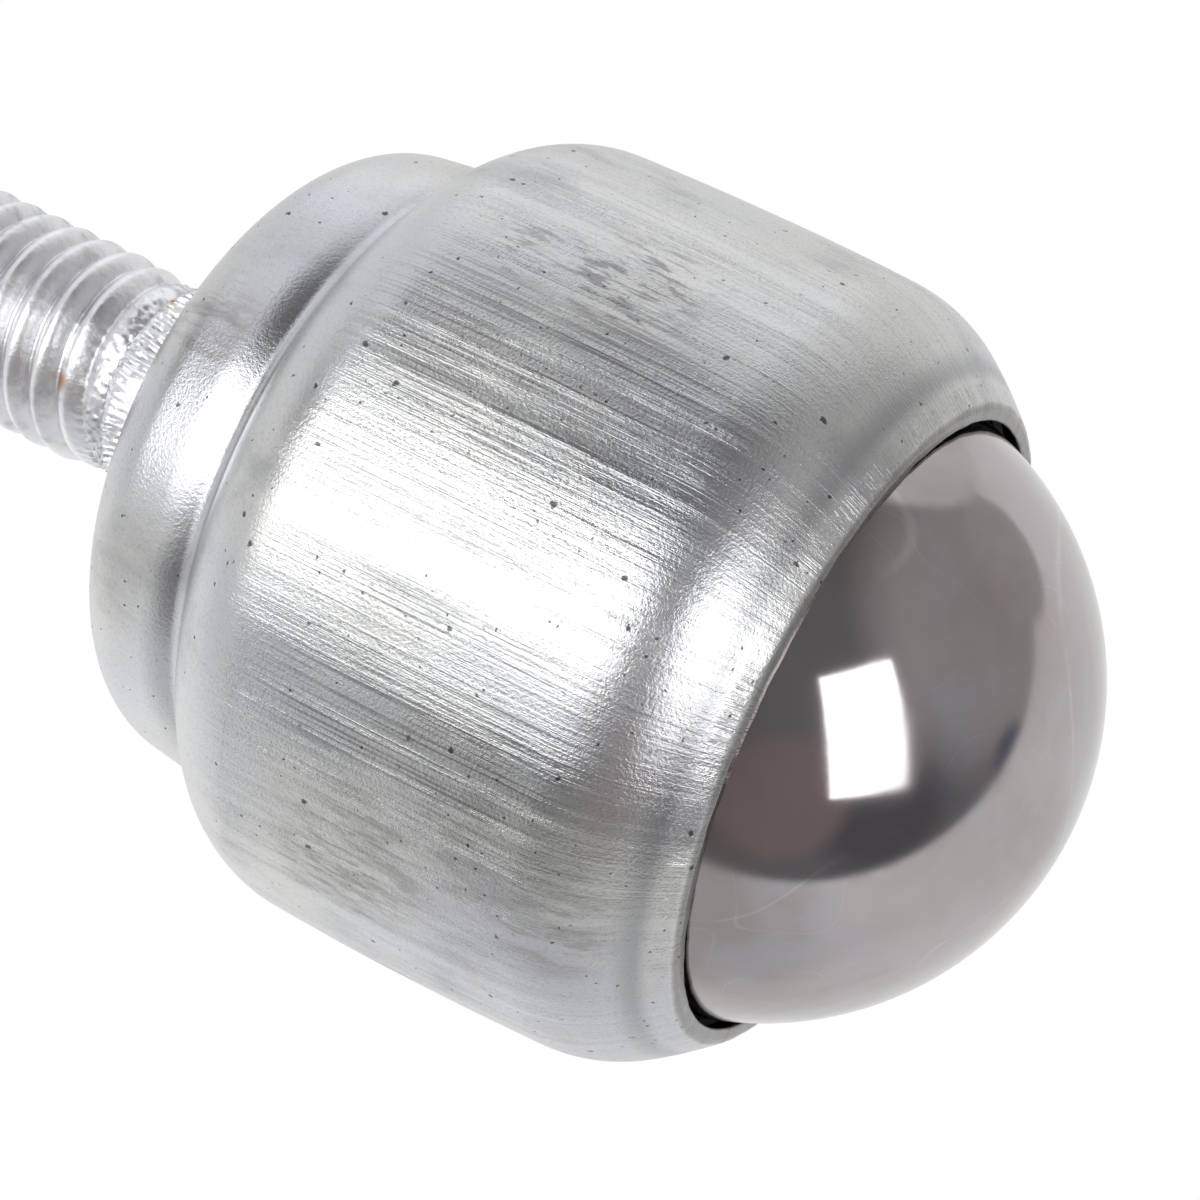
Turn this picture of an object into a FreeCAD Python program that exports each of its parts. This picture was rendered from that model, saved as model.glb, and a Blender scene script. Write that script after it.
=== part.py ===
"""Ball castor with a threaded stud, modelled with its stud up and its load ball down.

The origin is on the stud's axis, in the flat back face of the shell, which seats on the furniture.
+Z runs along the stud. The ball's centre lies below the seat, and heights of the race, the ring and
the lip are counted from that centre.
"""
import FreeCAD, Part
import math
import os
import Sketcher

Vector = FreeCAD.Vector
AXIS = Vector(0, 0, 1)

# Driving dimensions in millimetres and degrees
SIZES = [
    ("ball_dia", 22.225, "load ball"),
    ("roller_dia", 3.175, "small bearing balls"),
    ("roller_play", 0.05, "bearing ball to load ball, and bearing ball to race"),
    ("roller_gap", 0.1, "least gap between neighbouring bearing balls"),
    ("race_gap", 0.2, "lowest bearing ball to the retaining ring below it"),
    ("cup_wall", 1.0, "wall of the bearing cup"),
    ("cup_flat", 0.3, "taken off the cup's crown where it bears on the stud head"),
    ("cup_step", 0.3, "cup skirt beyond the retaining ring, on the radius"),
    ("ring_play", 0.15, "retaining ring to load ball"),
    ("ring_wall", 1.55, "retaining ring at the ball's equator"),
    ("ring_fit", 0.05, "retaining ring to shell, on the radius"),
    ("ring_drop", 2.9, "lower edge of the retaining ring below the ball's centre"),
    ("ring_edge", 0.3, "width of the retaining ring's lower edge"),
    ("shell_wall", 0.9, "pressed wall of the shell"),
    ("rim_wall", 0.5, "end face of the rolled lip"),
    ("rim_grip", 0.4, "mouth of the lip smaller than the ball, on the radius"),
    ("bend_rise", 0.7, "start of the lip's bend above the ball's centre"),
    ("bend_start", 3.8, "slope of the wall from the axis where the bend starts"),
    ("bend_end", 36.0, "slope of the wall from the axis where the bend ends"),
    ("bend_fillet", 5.2, "outer round of the lip's bend"),
    ("lip_fillet", 16.0, "outer round of the lip below its bend"),
    ("crown_rise", 0.3, "widest part of the shell beyond the bend, on the radius"),
    ("shoulder_drop", 8.9, "centre of the shoulder's round below the seat"),
    ("shoulder_fillet", 4.0, "outer round of the shoulder"),
    ("crease_slope", 60.0, "slope of the flank between shoulder and crease, from the axis"),
    ("crease_fillet", 0.6, "hollow round in the crease between flank and dome"),
    ("dome_step", 2.52, "widest part of the dome inside the widest part of the shell, on the radius"),
    ("dome_drop", 3.7, "widest part of the dome below the seat"),
    ("dome_crown", 3.0, "bulging round of the dome's side, which closes again to the crease"),
    ("dome_slope", 6.0, "slope of the dome's side above its widest part, from the axis"),
    ("dome_fillet", 2.4, "round between the dome's side and the seat"),
    ("stud_dia", 7.8, "outside of the thread"),
    ("stud_length", 25.0, "stud beyond the seat"),
    ("collar_step", 0.3, "serrated collar beyond the outside of the thread, on the radius"),
    ("collar_length", 4.7, "serrated collar beyond the seat"),
    ("collar_fit", 0.05, "collar to the hole in the shell, on the radius"),
    ("neck_step", 0.35, "neck below the outside of the thread, on the radius"),
    ("neck_length", 1.2, "neck between the collar and the thread"),
    ("tip_chamfer", 0.9, "chamfer at the free end of the stud"),
    ("thread_pitch", 1.25, "one turn of the thread to the next"),
    ("thread_depth", 0.5, "crest to root of the thread, on the radius"),
    ("thread_root", 0.15, "flat at the root of the thread"),
    ("thread_mouth", 0.85, "groove between two crests at their outside"),
    ("head_dia", 15.0, "stud head inside the shell"),
    ("head_height", 4.0, "stud head inside the shell"),
]
ROLLER_ROWS = 4
# Share of the step between neck and thread that the run-out's chamfer takes
RUNOUT_SHARE = 0.98

# Formulas that several pieces share, in the names of the sheet
BALL_RADIUS = "Sizes.ball_dia / 2"
ORBIT = "(Sizes.ball_dia / 2 + Sizes.roller_play + Sizes.roller_dia / 2)"
RACE_RADIUS = "(Sizes.ball_dia / 2 + Sizes.roller_dia + 2 * Sizes.roller_play)"
CUP_RADIUS = "(" + RACE_RADIUS + " + Sizes.cup_wall)"
BALL_DROP = "(" + CUP_RADIUS + " - Sizes.cup_flat + Sizes.head_height + Sizes.shell_wall)"
RING_RADIUS = "(Sizes.ball_dia / 2 + Sizes.ring_play + Sizes.ring_wall)"
ROW_PITCH = "asin((Sizes.roller_dia + Sizes.roller_gap) / " + ORBIT + ")"
LOWEST_ROW = "%s * cos(%d * %s)" % (ORBIT, ROLLER_ROWS - 1, ROW_PITCH)
RING_TOP = "(" + LOWEST_ROW + " - Sizes.roller_dia / 2 - Sizes.race_gap)"
THREAD_START = "(Sizes.collar_length + Sizes.neck_length)"


def make_sheet(doc):
    """The sheet of driving dimensions: what it measures, its number and its name in each row."""
    sheet = doc.addObject("Spreadsheet::Sheet", "Sizes")
    for row, (alias, value, meaning) in enumerate(SIZES, start=1):
        sheet.set("A%d" % row, meaning)
        sheet.set("B%d" % row, str(value))
        sheet.setAlias("B%d" % row, alias)
    doc.recompute()
    return sheet


def bind(item, formulas):
    """Ties properties of an object to formulas on the sheet."""
    for name, formula in formulas.items():
        item.setExpression(name, formula)
    return item


def below_seat(rise="0"):
    """Formula for a height above the ball's centre, counted from the seat."""
    return "%s - %s" % (rise, BALL_DROP)


def add_sphere(doc, name, radius, height):
    """A full sphere on the axis."""
    sphere = doc.addObject("Part::Sphere", name)
    return bind(sphere, {"Radius": radius, "Placement.Base.z": height})


def add_cylinder(doc, name, radius, bottom, length):
    """An upright cylinder on the axis."""
    cylinder = doc.addObject("Part::Cylinder", name)
    return bind(cylinder, {"Radius": radius, "Height": length, "Placement.Base.z": bottom})


def add_boolean(doc, kind, name, base, tool):
    """A cut, fuse or common of two objects."""
    result = doc.addObject("Part::" + kind, name)
    result.Base = base
    result.Tool = tool
    return result


def origin_part(body, role):
    """One of a body's own origin planes or axes."""
    return [feature for feature in body.Origin.OriginFeatures if feature.Role == role][0]


def pad_disc(body, name, radius, bottom, length):
    """A round pad about the body's Z axis."""
    sketch = body.newObject("Sketcher::SketchObject", name + "_circle")
    sketch.AttachmentSupport = (origin_part(body, "XY_Plane"), [""])
    sketch.MapMode = "FlatFace"
    sketch.addGeometry(Part.Circle(Vector(0, 0, 0), AXIS, 5.0), False)
    sketch.addConstraint(Sketcher.Constraint("Coincident", 0, 3, -1, 1))
    radius_index = sketch.addConstraint(Sketcher.Constraint("Radius", 0, 5.0))
    sketch.renameConstraint(radius_index, "radius")
    bind(sketch, {"Constraints.radius": radius, "AttachmentOffset.Base.z": bottom})
    pad = body.newObject("PartDesign::Pad", name)
    pad.Profile = sketch
    return bind(pad, {"Length": length})


def circle_edge(shape, height, radius):
    """Name of the circular edge on the axis at a height and radius."""
    for index, edge in enumerate(shape.Edges, start=1):
        if not isinstance(edge.Curve, Part.Circle):
            continue
        level = abs(edge.Curve.Center.z - height) < 1e-4
        if level and abs(edge.Curve.Radius - radius) < 1e-4:
            return "Edge%d" % index
    raise ValueError("no circular edge at height %.3f" % height)


def chamfer_edge(body, name, base, edge, size):
    """A chamfer on one edge of the body."""
    chamfer = body.newObject("PartDesign::Chamfer", name)
    chamfer.Base = (base, [edge])
    bind(chamfer, {"Size": size})
    body.Tip = chamfer
    return chamfer


def groove_thread(body):
    """Grooves between the thread's crests: one turned groove, repeated at the pitch up to the tip."""
    sketch = body.newObject("Sketcher::SketchObject", "groove_section")
    sketch.AttachmentSupport = (origin_part(body, "XZ_Plane"), [""])
    sketch.MapMode = "FlatFace"
    corners = [Vector(4, 8, 0), Vector(3, 7.6, 0), Vector(3, 7.4, 0), Vector(4, 7, 0)]
    for first, last in zip(corners, corners[1:] + corners[:1]):
        sketch.addGeometry(Part.LineSegment(first, last), False)
    for side in range(4):
        sketch.addConstraint(Sketcher.Constraint("Coincident", side, 2, (side + 1) % 4, 1))
    sketch.addConstraint(Sketcher.Constraint("Vertical", 1))
    sketch.addConstraint(Sketcher.Constraint("Vertical", 3))
    sketch.addConstraint(Sketcher.Constraint("Equal", 0, 2))
    level = "%s + 0.9 * Sizes.thread_pitch" % THREAD_START
    outside = "Sizes.stud_dia / 2"
    measures = {
        "mouth_top": ("DistanceY", -1, 1, 0, 1, level + " + Sizes.thread_mouth / 2"),
        "root_top": ("DistanceY", -1, 1, 1, 1, level + " + Sizes.thread_root / 2"),
        "mouth_bottom": ("DistanceY", -1, 1, 3, 1, level + " - Sizes.thread_mouth / 2"),
        "root_radius": ("DistanceX", -1, 1, 1, 1, outside + " - Sizes.thread_depth"),
        "mouth_radius": ("DistanceX", -1, 1, 3, 1, outside),
    }
    for name, (kind, first, first_end, second, second_end, formula) in measures.items():
        index = sketch.addConstraint(
            Sketcher.Constraint(kind, first, first_end, second, second_end, 5.0))
        sketch.renameConstraint(index, name)
        bind(sketch, {"Constraints." + name: formula})
    groove = body.newObject("PartDesign::Groove", "thread_groove")
    groove.Profile = sketch
    groove.ReferenceAxis = (sketch, ["V_Axis"])
    groove.Angle = 360
    pattern = body.newObject("PartDesign::LinearPattern", "thread_turns")
    pattern.Originals = [groove]
    pattern.Direction = (origin_part(body, "Z_Axis"), [""])
    room = "(Sizes.stud_length - Sizes.tip_chamfer - %s)" % THREAD_START
    count = "floor(%s / Sizes.thread_pitch)" % room
    bind(pattern, {"Occurrences": count, "Length": "(%s - 1) * Sizes.thread_pitch" % count})
    body.Tip = pattern
    return pattern


def make_stud(doc, sheet):
    """Bolt with its head between shell and cup: head, collar, neck and grooved thread."""
    body = doc.addObject("PartDesign::Body", "stud")
    head_bottom = "-Sizes.shell_wall - Sizes.head_height"
    pad_disc(body, "head", "Sizes.head_dia / 2", head_bottom, "Sizes.head_height")
    collar_radius = "Sizes.stud_dia / 2 + Sizes.collar_step"
    collar_length = "Sizes.collar_length + Sizes.shell_wall"
    pad_disc(body, "collar", collar_radius, "-Sizes.shell_wall", collar_length)
    neck_radius = "Sizes.stud_dia / 2 - Sizes.neck_step"
    pad_disc(body, "neck", neck_radius, "Sizes.collar_length", "Sizes.neck_length")
    thread_length = "Sizes.stud_length - " + THREAD_START
    thread = pad_disc(body, "thread", "Sizes.stud_dia / 2", THREAD_START, thread_length)
    doc.recompute()
    tip_edge = circle_edge(thread.Shape, sheet.stud_length, sheet.stud_dia / 2)
    tip = chamfer_edge(body, "tip_chamfer", thread, tip_edge, "Sizes.tip_chamfer")
    doc.recompute()
    start = sheet.collar_length + sheet.neck_length
    start_edge = circle_edge(tip.Shape, start, sheet.stud_dia / 2)
    runout = "Sizes.neck_step * %.2f" % RUNOUT_SHARE
    chamfer_edge(body, "thread_runout", tip, start_edge, runout)
    groove_thread(body)
    return body


def normal(slope):
    """Outward normal in the radius and height plane of a wall that leans in by slope degrees."""
    return Vector(math.cos(math.radians(slope)), 0, -math.sin(math.radians(slope)))


def unit(vector):
    """The vector at length one."""
    return vector * (1.0 / vector.Length)


def arc_between(centre, radius, first_slope, last_slope):
    """Arc about a centre from one wall slope to another."""
    middle_slope = (first_slope + last_slope) / 2
    points = [centre + normal(slope) * radius for slope in (first_slope, middle_slope, last_slope)]
    return Part.Arc(*points).toShape()


class ShellProfile:
    """Rounds of the pressed shell, each a centre in the radius and height plane and its radius.

    A slope is the lean of the wall from the axis: positive below the shoulder, where the wall
    closes towards the ball, and negative above it, where the wall closes towards the seat.
    """

    def __init__(self, sheet):
        self.wall = sheet.shell_wall
        self.hole_radius = sheet.stud_dia / 2 + sheet.collar_step + sheet.collar_fit
        ball_radius = sheet.ball_dia / 2
        cup_radius = ball_radius + sheet.roller_dia + 2 * sheet.roller_play + sheet.cup_wall
        self.ball_drop = cup_radius - sheet.cup_flat + sheet.head_height + self.wall
        ring_radius = ball_radius + sheet.ring_play + sheet.ring_wall
        bend_radius = ring_radius + sheet.ring_fit + self.wall

        # Bend and lip, from the wall's lower end to the mouth
        self.start, self.end = sheet.bend_start, sheet.bend_end
        self.bend = sheet.bend_fillet
        bend_point = Vector(bend_radius, 0, sheet.bend_rise - self.ball_drop)
        self.bend_centre = bend_point - normal(self.start) * self.bend
        lip_point = self.bend_centre + normal(self.end) * self.bend
        self.lip = sheet.lip_fillet
        self.lip_centre = lip_point - normal(self.end) * self.lip
        self.mouth_radius = ball_radius - sheet.rim_grip
        self.rim_radius = self.mouth_radius + sheet.rim_wall
        self.rim_slope = math.degrees(math.acos((self.rim_radius - self.lip_centre.x) / self.lip))
        self.rim_height = (self.lip_centre + normal(self.rim_slope) * self.lip).z

        # Shoulder, and the crown that joins it to the bend
        self.shoulder = sheet.shoulder_fillet
        widest = bend_radius + sheet.crown_rise
        self.shoulder_centre = Vector(widest - self.shoulder, 0, -sheet.shoulder_drop)
        span = bend_point - self.shoulder_centre
        outward = span.dot(normal(self.start)) - self.shoulder
        self.crown = (span.dot(span) - self.shoulder ** 2) / (2 * outward)
        self.crown_centre = bend_point - normal(self.start) * self.crown
        towards = unit(self.shoulder_centre - self.crown_centre)
        self.crown_slope = math.degrees(math.atan2(-towards.z, towards.x))

        # Flank, hollow crease and bulging dome
        self.flank = -sheet.crease_slope
        self.crease = sheet.crease_fillet
        self.bulge = sheet.dome_crown
        self.bulge_centre = Vector(widest - sheet.dome_step - self.bulge, 0, -sheet.dome_drop)
        flank_normal = normal(self.flank)
        flank_reach = self.shoulder_centre.dot(flank_normal) + self.shoulder
        spread = self.bulge + self.crease
        room = flank_reach + self.crease - self.bulge_centre.dot(flank_normal)
        self.under = math.degrees(math.acos(room / spread)) + self.flank
        self.crease_centre = self.bulge_centre + normal(self.under) * spread

        # Leaning side of the dome and its round to the seat
        self.lean = -sheet.dome_slope
        self.dome = sheet.dome_fillet
        lean_normal = normal(self.lean)
        side_reach = self.bulge_centre.dot(lean_normal) + self.bulge - self.dome
        dome_centre_radius = (side_reach + self.dome * lean_normal.z) / lean_normal.x
        self.dome_centre = Vector(dome_centre_radius, 0, -self.dome)

    def side(self, inset):
        """Edges of one face of the wall from the hole to the bend's start, set in by inset."""
        back = Vector(self.hole_radius, 0, -inset)
        dome_top = self.dome_centre + AXIS * (self.dome - inset)
        dome_side = self.dome_centre + normal(self.lean) * (self.dome - inset)
        bulge_top = self.bulge_centre + normal(self.lean) * (self.bulge - inset)
        crease_middle = (self.under + self.flank) / 2
        crease_points = [self.crease_centre - normal(slope) * (self.crease + inset)
                         for slope in (self.under, crease_middle, self.flank)]
        shoulder_top = self.shoulder_centre + normal(self.flank) * (self.shoulder - inset)
        return [
            Part.LineSegment(back, dome_top).toShape(),
            arc_between(self.dome_centre, self.dome - inset, -90, self.lean),
            Part.LineSegment(dome_side, bulge_top).toShape(),
            arc_between(self.bulge_centre, self.bulge - inset, self.lean, self.under),
            Part.Arc(*crease_points).toShape(),
            Part.LineSegment(crease_points[-1], shoulder_top).toShape(),
            arc_between(self.shoulder_centre, self.shoulder - inset, self.flank, self.crown_slope),
            arc_between(self.crown_centre, self.crown - inset, self.crown_slope, self.start),
        ]

    def outer_lip(self):
        """Outer edges from the bend's start to the mouth."""
        return [
            arc_between(self.bend_centre, self.bend, self.start, self.end),
            arc_between(self.lip_centre, self.lip, self.end, self.rim_slope),
        ]

    def inner_lip(self):
        """One arc, tangent to the wall's inner face, that thins the lip down to its end face."""
        first = self.bend_centre + normal(self.start) * (self.bend - self.wall)
        last = Vector(self.mouth_radius, 0, self.rim_height)
        chord = last - first
        radius = chord.dot(chord) / (-2 * chord.dot(normal(self.start)))
        centre = first - normal(self.start) * radius
        slope = math.degrees(math.atan2(centre.z - last.z, last.x - centre.x))
        return [arc_between(centre, radius, self.start, slope)]

    def face(self):
        """The closed section of the wall."""
        outer = self.side(0) + self.outer_lip()
        inner = self.side(self.wall) + self.inner_lip()
        hole_edge = Part.LineSegment(
            Vector(self.hole_radius, 0, 0), Vector(self.hole_radius, 0, -self.wall)).toShape()
        rim_edge = Part.LineSegment(
            Vector(self.rim_radius, 0, self.rim_height),
            Vector(self.mouth_radius, 0, self.rim_height)).toShape()
        edges = Part.__sortEdges__(outer + [rim_edge] + inner + [hole_edge])
        return Part.Face(Part.Wire(edges))


def make_shell(doc, sheet):
    """One pressed cup: seat, dome, crease, shoulder, crowned side and the lip rolled over the ball."""
    shell = doc.addObject("Part::Feature", "shell")
    shell.Shape = ShellProfile(sheet).face().revolve(Vector(0, 0, 0), AXIS, 360)
    return shell


def make_cup(doc):
    """Hardened cup with the spherical race, a flat crown under the stud head and a short skirt."""
    ball = add_sphere(doc, "cup_outside", CUP_RADIUS, below_seat())
    skirt_radius = RING_RADIUS + " + Sizes.cup_step"
    height = "%s - Sizes.cup_flat - %s" % (CUP_RADIUS, RING_TOP)
    blank = add_cylinder(doc, "cup_blank", skirt_radius, below_seat(RING_TOP), height)
    turned = add_boolean(doc, "Common", "cup_turned", ball, blank)
    race = add_sphere(doc, "cup_race", RACE_RADIUS, below_seat())
    return add_boolean(doc, "Cut", "bearing_cup", turned, race)


def make_ring(doc):
    """Ring between ball and shell: a sleeve with a conical lower end, bored to the ball."""
    sleeve_height = "%s - Sizes.bend_rise" % RING_TOP
    sleeve = add_cylinder(doc, "ring_sleeve", RING_RADIUS, below_seat("Sizes.bend_rise"), sleeve_height)
    bore_radius = "(Sizes.ball_dia / 2 + Sizes.ring_play)"
    edge_radius = "sqrt(%s ^ 2 - Sizes.ring_drop ^ 2) + Sizes.ring_edge" % bore_radius
    cone = doc.addObject("Part::Cone", "ring_cone")
    bind(cone, {
        "Radius1": edge_radius,
        "Radius2": RING_RADIUS,
        "Height": "Sizes.ring_drop + Sizes.bend_rise",
        "Placement.Base.z": below_seat("-Sizes.ring_drop"),
    })
    blank = add_boolean(doc, "Fuse", "ring_blank", sleeve, cone)
    bore = add_sphere(doc, "ring_bore", bore_radius, below_seat())
    return add_boolean(doc, "Cut", "retaining_ring", blank, bore)


def roller_places(sheet):
    """Row number, place in the row and number in the row of every bearing ball."""
    orbit = sheet.ball_dia / 2 + sheet.roller_play + sheet.roller_dia / 2
    spacing = sheet.roller_dia + sheet.roller_gap
    pitch = math.asin(spacing / orbit)
    places = [(0, 0, 1)]
    for row in range(1, ROLLER_ROWS):
        reach = spacing / (2 * orbit * math.sin(row * pitch))
        count = int(math.pi / math.asin(reach) + 1e-6)
        places += [(row, index, count) for index in range(count)]
    return places


def make_rollers(doc, sheet):
    """Bearing balls in rows round the axis, between the load ball and the race."""
    rollers = []
    for number, (row, index, count) in enumerate(roller_places(sheet), start=1):
        polar = "%d * %s" % (row, ROW_PITCH)
        turn = 360.0 * index / count
        roller = doc.addObject("Part::Sphere", "bearing_ball_%02d" % number)
        bind(roller, {
            "Radius": "Sizes.roller_dia / 2",
            "Placement.Base.x": "%s * sin(%s) * cos(%.6f deg)" % (ORBIT, polar, turn),
            "Placement.Base.y": "%s * sin(%s) * sin(%.6f deg)" % (ORBIT, polar, turn),
            "Placement.Base.z": below_seat("%s * cos(%s)" % (ORBIT, polar)),
        })
        rollers.append(roller)
    return rollers


def check(doc, pieces):
    """Stops on any object that failed, and on any piece that isn't one valid solid."""
    for item in doc.Objects:
        if "Invalid" in item.State or "Error" in item.State:
            raise ValueError("%s failed: %s" % (item.Name, item.State))
    for piece in pieces:
        shape = piece.Shape
        if shape.isNull() or not shape.isValid() or len(shape.Solids) != 1:
            raise ValueError("%s is not one valid solid" % piece.Name)
        print("%-18s volume %10.3f" % (piece.Label, shape.Volume))


def main():
    doc = FreeCAD.newDocument("ball_castor")
    sheet = make_sheet(doc)
    pieces = [
        make_shell(doc, sheet),
        make_stud(doc, sheet),
        make_cup(doc),
        make_ring(doc),
        add_sphere(doc, "load_ball", BALL_RADIUS, below_seat()),
    ]
    pieces += make_rollers(doc, sheet)
    doc.recompute()
    check(doc, pieces)
    os.makedirs("parts", exist_ok=True)
    for piece in pieces:
        piece.Shape.exportStep("parts/%s.step" % piece.Label)


main()
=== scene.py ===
"""Looks of a ball castor: a pressed zinc-plated shell, a threaded stud and a polished steel ball.

Sizes of the pieces are in millimetres until their mesh is made, which is in metres, as the finishes are.
Heights are counted from the shell's seat, where the row's origin is.
"""

import logging
import math
from dataclasses import dataclass, field, replace
from enum import Enum

import bpy
import numpy as np
from mathutils import Matrix, Vector

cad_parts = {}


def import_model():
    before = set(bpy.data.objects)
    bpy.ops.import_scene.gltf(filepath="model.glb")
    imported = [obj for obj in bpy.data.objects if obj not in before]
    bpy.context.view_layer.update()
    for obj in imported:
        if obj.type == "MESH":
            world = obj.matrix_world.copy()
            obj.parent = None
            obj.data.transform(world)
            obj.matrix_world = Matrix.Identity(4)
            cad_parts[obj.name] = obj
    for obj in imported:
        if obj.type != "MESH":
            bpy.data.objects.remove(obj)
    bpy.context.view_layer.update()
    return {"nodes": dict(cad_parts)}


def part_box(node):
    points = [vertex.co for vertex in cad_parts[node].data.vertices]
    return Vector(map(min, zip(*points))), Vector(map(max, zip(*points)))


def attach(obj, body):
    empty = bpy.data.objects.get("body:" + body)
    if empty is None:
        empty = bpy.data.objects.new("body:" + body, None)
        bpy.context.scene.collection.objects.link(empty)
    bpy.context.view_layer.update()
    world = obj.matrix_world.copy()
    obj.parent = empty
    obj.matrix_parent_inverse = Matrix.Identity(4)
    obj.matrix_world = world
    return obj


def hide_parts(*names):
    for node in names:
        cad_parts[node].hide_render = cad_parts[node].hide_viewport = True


LOG = logging.getLogger("ball_castor")
Socket = bpy.types.NodeSocket
MM = 0.001
CHIP_WAVES = 14
CHIP_LEAN = 12.0
CHIP_SPREAD = 6.0
CHIP_LIFT = 0.15
MARK_PLACE_CORE = 0.3


# Surfaces on grids


def circle_points(centre: tuple, radius: float, first: float, last: float, count: int) -> np.ndarray:
    """Points on a round of a profile.

    A point is centre + radius * (cos(slope), -sin(slope)), where the slope is the wall's lean from
    the axis in degrees.

    Args:
        centre: Radius and height of the round's centre.
        radius: Radius of the round, negative for a hollow.
        first: Slope at the first point.
        last: Slope at the last point.
        count: Number of points.

    Returns:
        Array (count, 2) of radius and height.
    """
    slope = np.radians(np.linspace(first, last, count))
    return np.stack([centre[0] + radius * np.cos(slope), centre[1] - radius * np.sin(slope)], axis=1)


def line_points(first: tuple, last: tuple, count: int) -> np.ndarray:
    """Evenly spaced points between two points of a profile, without either end.

    Args:
        first: Radius and height before the line.
        last: Radius and height after the line.
        count: Number of points inside the line.

    Returns:
        Array (count, 2) of radius and height.
    """
    share = np.linspace(0.0, 1.0, count + 2)[1:-1, None]
    return np.asarray(first) * (1.0 - share) + np.asarray(last) * share


def turned(profile: np.ndarray, columns: int) -> np.ndarray:
    """Carries a profile round the axis.

    The point in row i and column j is (r_i * cos(t_j), r_i * sin(t_j), z_i), with t_j = 2 pi j / columns.

    Args:
        profile: Array (rows, 2) of radius and height.
        columns: Number of points round the axis.

    Returns:
        Array (rows, columns, 3) of points.
    """
    turn = 2.0 * np.pi * np.arange(columns) / columns
    radius, height = profile[:, 0, None], profile[:, 1, None]
    flat = np.zeros((1, columns))
    return np.stack([radius * np.cos(turn), radius * np.sin(turn), height + flat], axis=2)


class Ends(Enum):
    """How the first and last row of a grid are closed."""

    LOOP = "the last row joins the first"
    POLES = "the first and last row are drawn together in a point"


def grid_faces(rows: int, columns: int, ends: Ends) -> np.ndarray:
    """Quads of a grid whose columns join round the axis.

    A quad is (i, j), (i, j + 1), (i + 1, j + 1), (i + 1, j), which points outwards where rows rise on
    the outer side and columns run counter-clockwise.

    Args:
        rows: Number of rows.
        columns: Number of columns.
        ends: Whether the last row joins the first.

    Returns:
        Array (faces, 4) of indices.
    """
    last = rows if ends is Ends.LOOP else rows - 1
    row, column = np.meshgrid(np.arange(last), np.arange(columns), indexing="ij")
    above, beside = (row + 1) % rows, (column + 1) % columns
    quads = np.stack([row * columns + column, row * columns + beside,
                      above * columns + beside, above * columns + column], axis=2)
    return quads.reshape(-1, 4)


def grid_mesh(name: str, grids: list, ends: Ends) -> bpy.types.Mesh:
    """Mesh of one or more closed grids.

    With poles, the first and last row of a grid are each joined to one more point at their middle.

    Args:
        name: Name of the mesh.
        grids: Arrays (rows, columns, 3) in millimetres.
        ends: How each grid is closed.

    Returns:
        The mesh in metres, shaded smooth.
    """
    points, quads, fans = [], [], []
    offset = 0
    for grid in grids:
        rows, columns = grid.shape[:2]
        points.append(grid.reshape(-1, 3))
        quads.append(grid_faces(rows, columns, ends) + offset)
        if ends is Ends.POLES:
            points.append(np.stack([grid[0].mean(axis=0), grid[-1].mean(axis=0)]))
            here = np.arange(columns)
            beside = (here + 1) % columns
            first_pole = np.full(columns, rows * columns)
            top = (rows - 1) * columns
            fans.append(np.stack([first_pole, beside, here], axis=1) + offset)
            fans.append(np.stack([first_pole + 1, top + here, top + beside], axis=1) + offset)
        offset = sum(len(part) for part in points)
    faces = [face for part in quads + fans for face in part.tolist()]
    mesh = bpy.data.meshes.new(name)
    mesh.from_pydata((np.concatenate(points) * MM).tolist(), [], faces)
    mesh.validate()
    mesh.shade_smooth()
    return mesh


def new_object(data: bpy.types.ID) -> bpy.types.Object:
    """Adds an object to the scene.

    Args:
        data: Its mesh, camera or lamp, whose name it takes.

    Returns:
        The object.
    """
    added = bpy.data.objects.new(data.name, data)
    bpy.context.scene.collection.objects.link(added)
    return added


def add_piece(mesh: bpy.types.Mesh, material: bpy.types.Material, body: str, nodes: tuple) -> bpy.types.Object:
    """Shows a mesh as a piece in place of CAD nodes.

    Args:
        mesh: The finished mesh, whose name the piece takes.
        material: Its finish.
        body: Body that the piece rides on.
        nodes: CAD nodes that it stands for.

    Returns:
        The piece.
    """
    mesh.materials.append(material)
    piece = new_object(mesh)
    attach(piece, body)
    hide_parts(*nodes)
    return piece


def ripples(turn: np.ndarray, waves: tuple, seed: int) -> np.ndarray:
    """A smooth closed unevenness round the axis.

    The sum over n in waves of cos(n * turn + phase_n) / n, scaled to reach 1 at most, with phases
    from a seeded generator.

    Args:
        turn: Angles round the axis, in radians.
        waves: Numbers of waves per turn.
        seed: Seed of the phases.

    Returns:
        Array shaped as turn, between -1 and 1.
    """
    phases = np.random.default_rng(seed).uniform(0.0, 2.0 * np.pi, len(waves))
    total = sum(np.cos(count * turn + phase) / count for count, phase in zip(waves, phases))
    return total / sum(1.0 / count for count in waves)


def chips(turn: np.ndarray, height: np.ndarray, waves: int, seed: int) -> np.ndarray:
    """A rough field of ragged lumps round the axis.

    The sum of CHIP_WAVES waves cos(n t + m z + phase), with whole n between waves and 5 waves and m up
    to CHIP_LEAN per millimetre from a seeded generator, cut off below 0 and scaled to reach about 1.

    Args:
        turn: Angles round the axis, in radians.
        height: Heights in millimetres.
        waves: Least number of waves per turn.
        seed: Seed of the waves.

    Returns:
        Array between 0 and 1.
    """
    random = np.random.default_rng(seed)
    total = 0.0
    for _ in range(CHIP_WAVES):
        count = int(random.integers(waves, 5 * waves))
        lean = random.uniform(-CHIP_LEAN, CHIP_LEAN)
        total = total + np.cos(count * turn + lean * height + random.uniform(0.0, 2.0 * np.pi))
    return np.clip(total / CHIP_SPREAD + CHIP_LIFT, 0.0, 1.0)


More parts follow.
